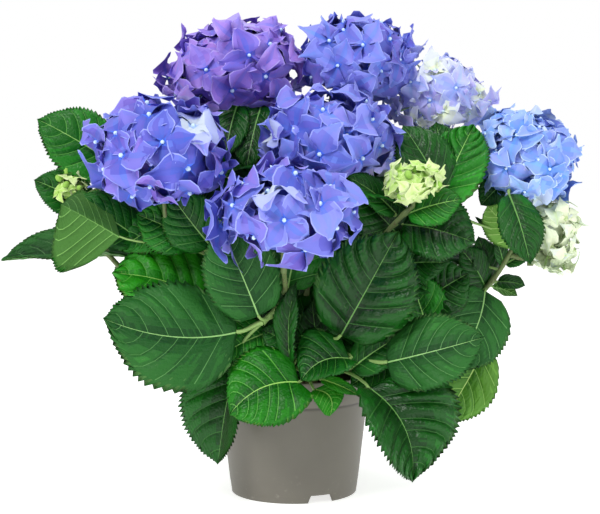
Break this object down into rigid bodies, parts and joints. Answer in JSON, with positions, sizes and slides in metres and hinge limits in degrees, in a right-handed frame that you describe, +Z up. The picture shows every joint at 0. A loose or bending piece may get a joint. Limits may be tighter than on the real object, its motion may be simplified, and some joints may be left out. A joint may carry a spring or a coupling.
{
  "type": "potted hydrangea shrub",
  "caption": "Round potted shrub with woody canes, broad leaves and domed flower heads, in a plain tapered nursery pot.",
  "frame": {"origin": "on the ground under the middle of the plant's box, which is within a few millimetres of the pot's axis", "axes": "+Z up along the pot's axis, -Y towards the front of the plant, +X to the right seen from the front"},
  "size_m": [0.6147, 0.4543, 0.5209],
  "materials": {
    "pot": "matte taupe moulded plastic",
    "compost": "rough moist potting compost",
    "wood": "flaking brown bark",
    "cane": "satin green to brown stem",
    "leaf": "satin quilted green leaf",
    "petal_violet": "soft blue violet petal",
    "petal_purple": "soft purple petal",
    "petal_pale": "soft pale blue and cream petal",
    "petal_sky": "soft sky blue petal",
    "petal_cream": "soft cream petal",
    "petal_green": "soft yellow green petal"
  },
  "bodies": {
    "root": {"cane_back": "cane", "cane_back_left": "cane", "cane_back_right": "cane", "cane_blue": "cane", "cane_bud_left": "cane", "cane_centre": "cane", "cane_cream": "cane", "cane_front": "cane", "cane_green": "cane", "cane_left": "cane", "cane_pale": "cane", "cane_purple": "cane", "cane_top": "cane", "compost": "compost", "flower_head_back": "petal_violet", "flower_head_back_left": "petal_violet", "flower_head_back_right": "petal_violet", "flower_head_blue": "petal_sky", "flower_head_bud_left": "petal_green", "flower_head_centre": "petal_violet", "flower_head_cream": "petal_cream", "flower_head_front": "petal_violet", "flower_head_green": "petal_green", "flower_head_left": "petal_violet", "flower_head_pale": "petal_pale", "flower_head_purple": "petal_purple", "flower_head_top": "petal_violet", "foliage_back_high_1": "leaf", "foliage_back_high_2": "leaf", "foliage_back_low_1": "leaf", "foliage_back_low_2": "leaf", "foliage_back_low_3": "leaf", "foliage_back_low_4": "leaf", "foliage_back_mid_1": "leaf", "foliage_back_mid_2": "leaf", "foliage_back_mid_3": "leaf", "foliage_back_mid_4": "leaf", "foliage_centre_left": "leaf", "foliage_centre_right": "leaf", "foliage_far_left": "leaf", "foliage_front_bright": "leaf", "foliage_front_dark": "leaf", "foliage_left_hang": "leaf", "foliage_left_low": "leaf", "foliage_left_mid": "leaf", "foliage_left_pale": "leaf", "foliage_left_shade": "leaf", "foliage_left_small": "leaf", "foliage_left_top": "leaf", "foliage_mid_gap": "leaf", "foliage_right_hang": "leaf", "foliage_right_inner": "leaf", "foliage_right_low": "leaf", "foliage_right_mid": "leaf", "foliage_right_top": "leaf", "foliage_right_upper": "leaf", "foliage_right_yellow": "leaf", "foliage_under_blue": "leaf", "pot": "pot", "stem_base": "wood"}
  },
  "joints": []
}
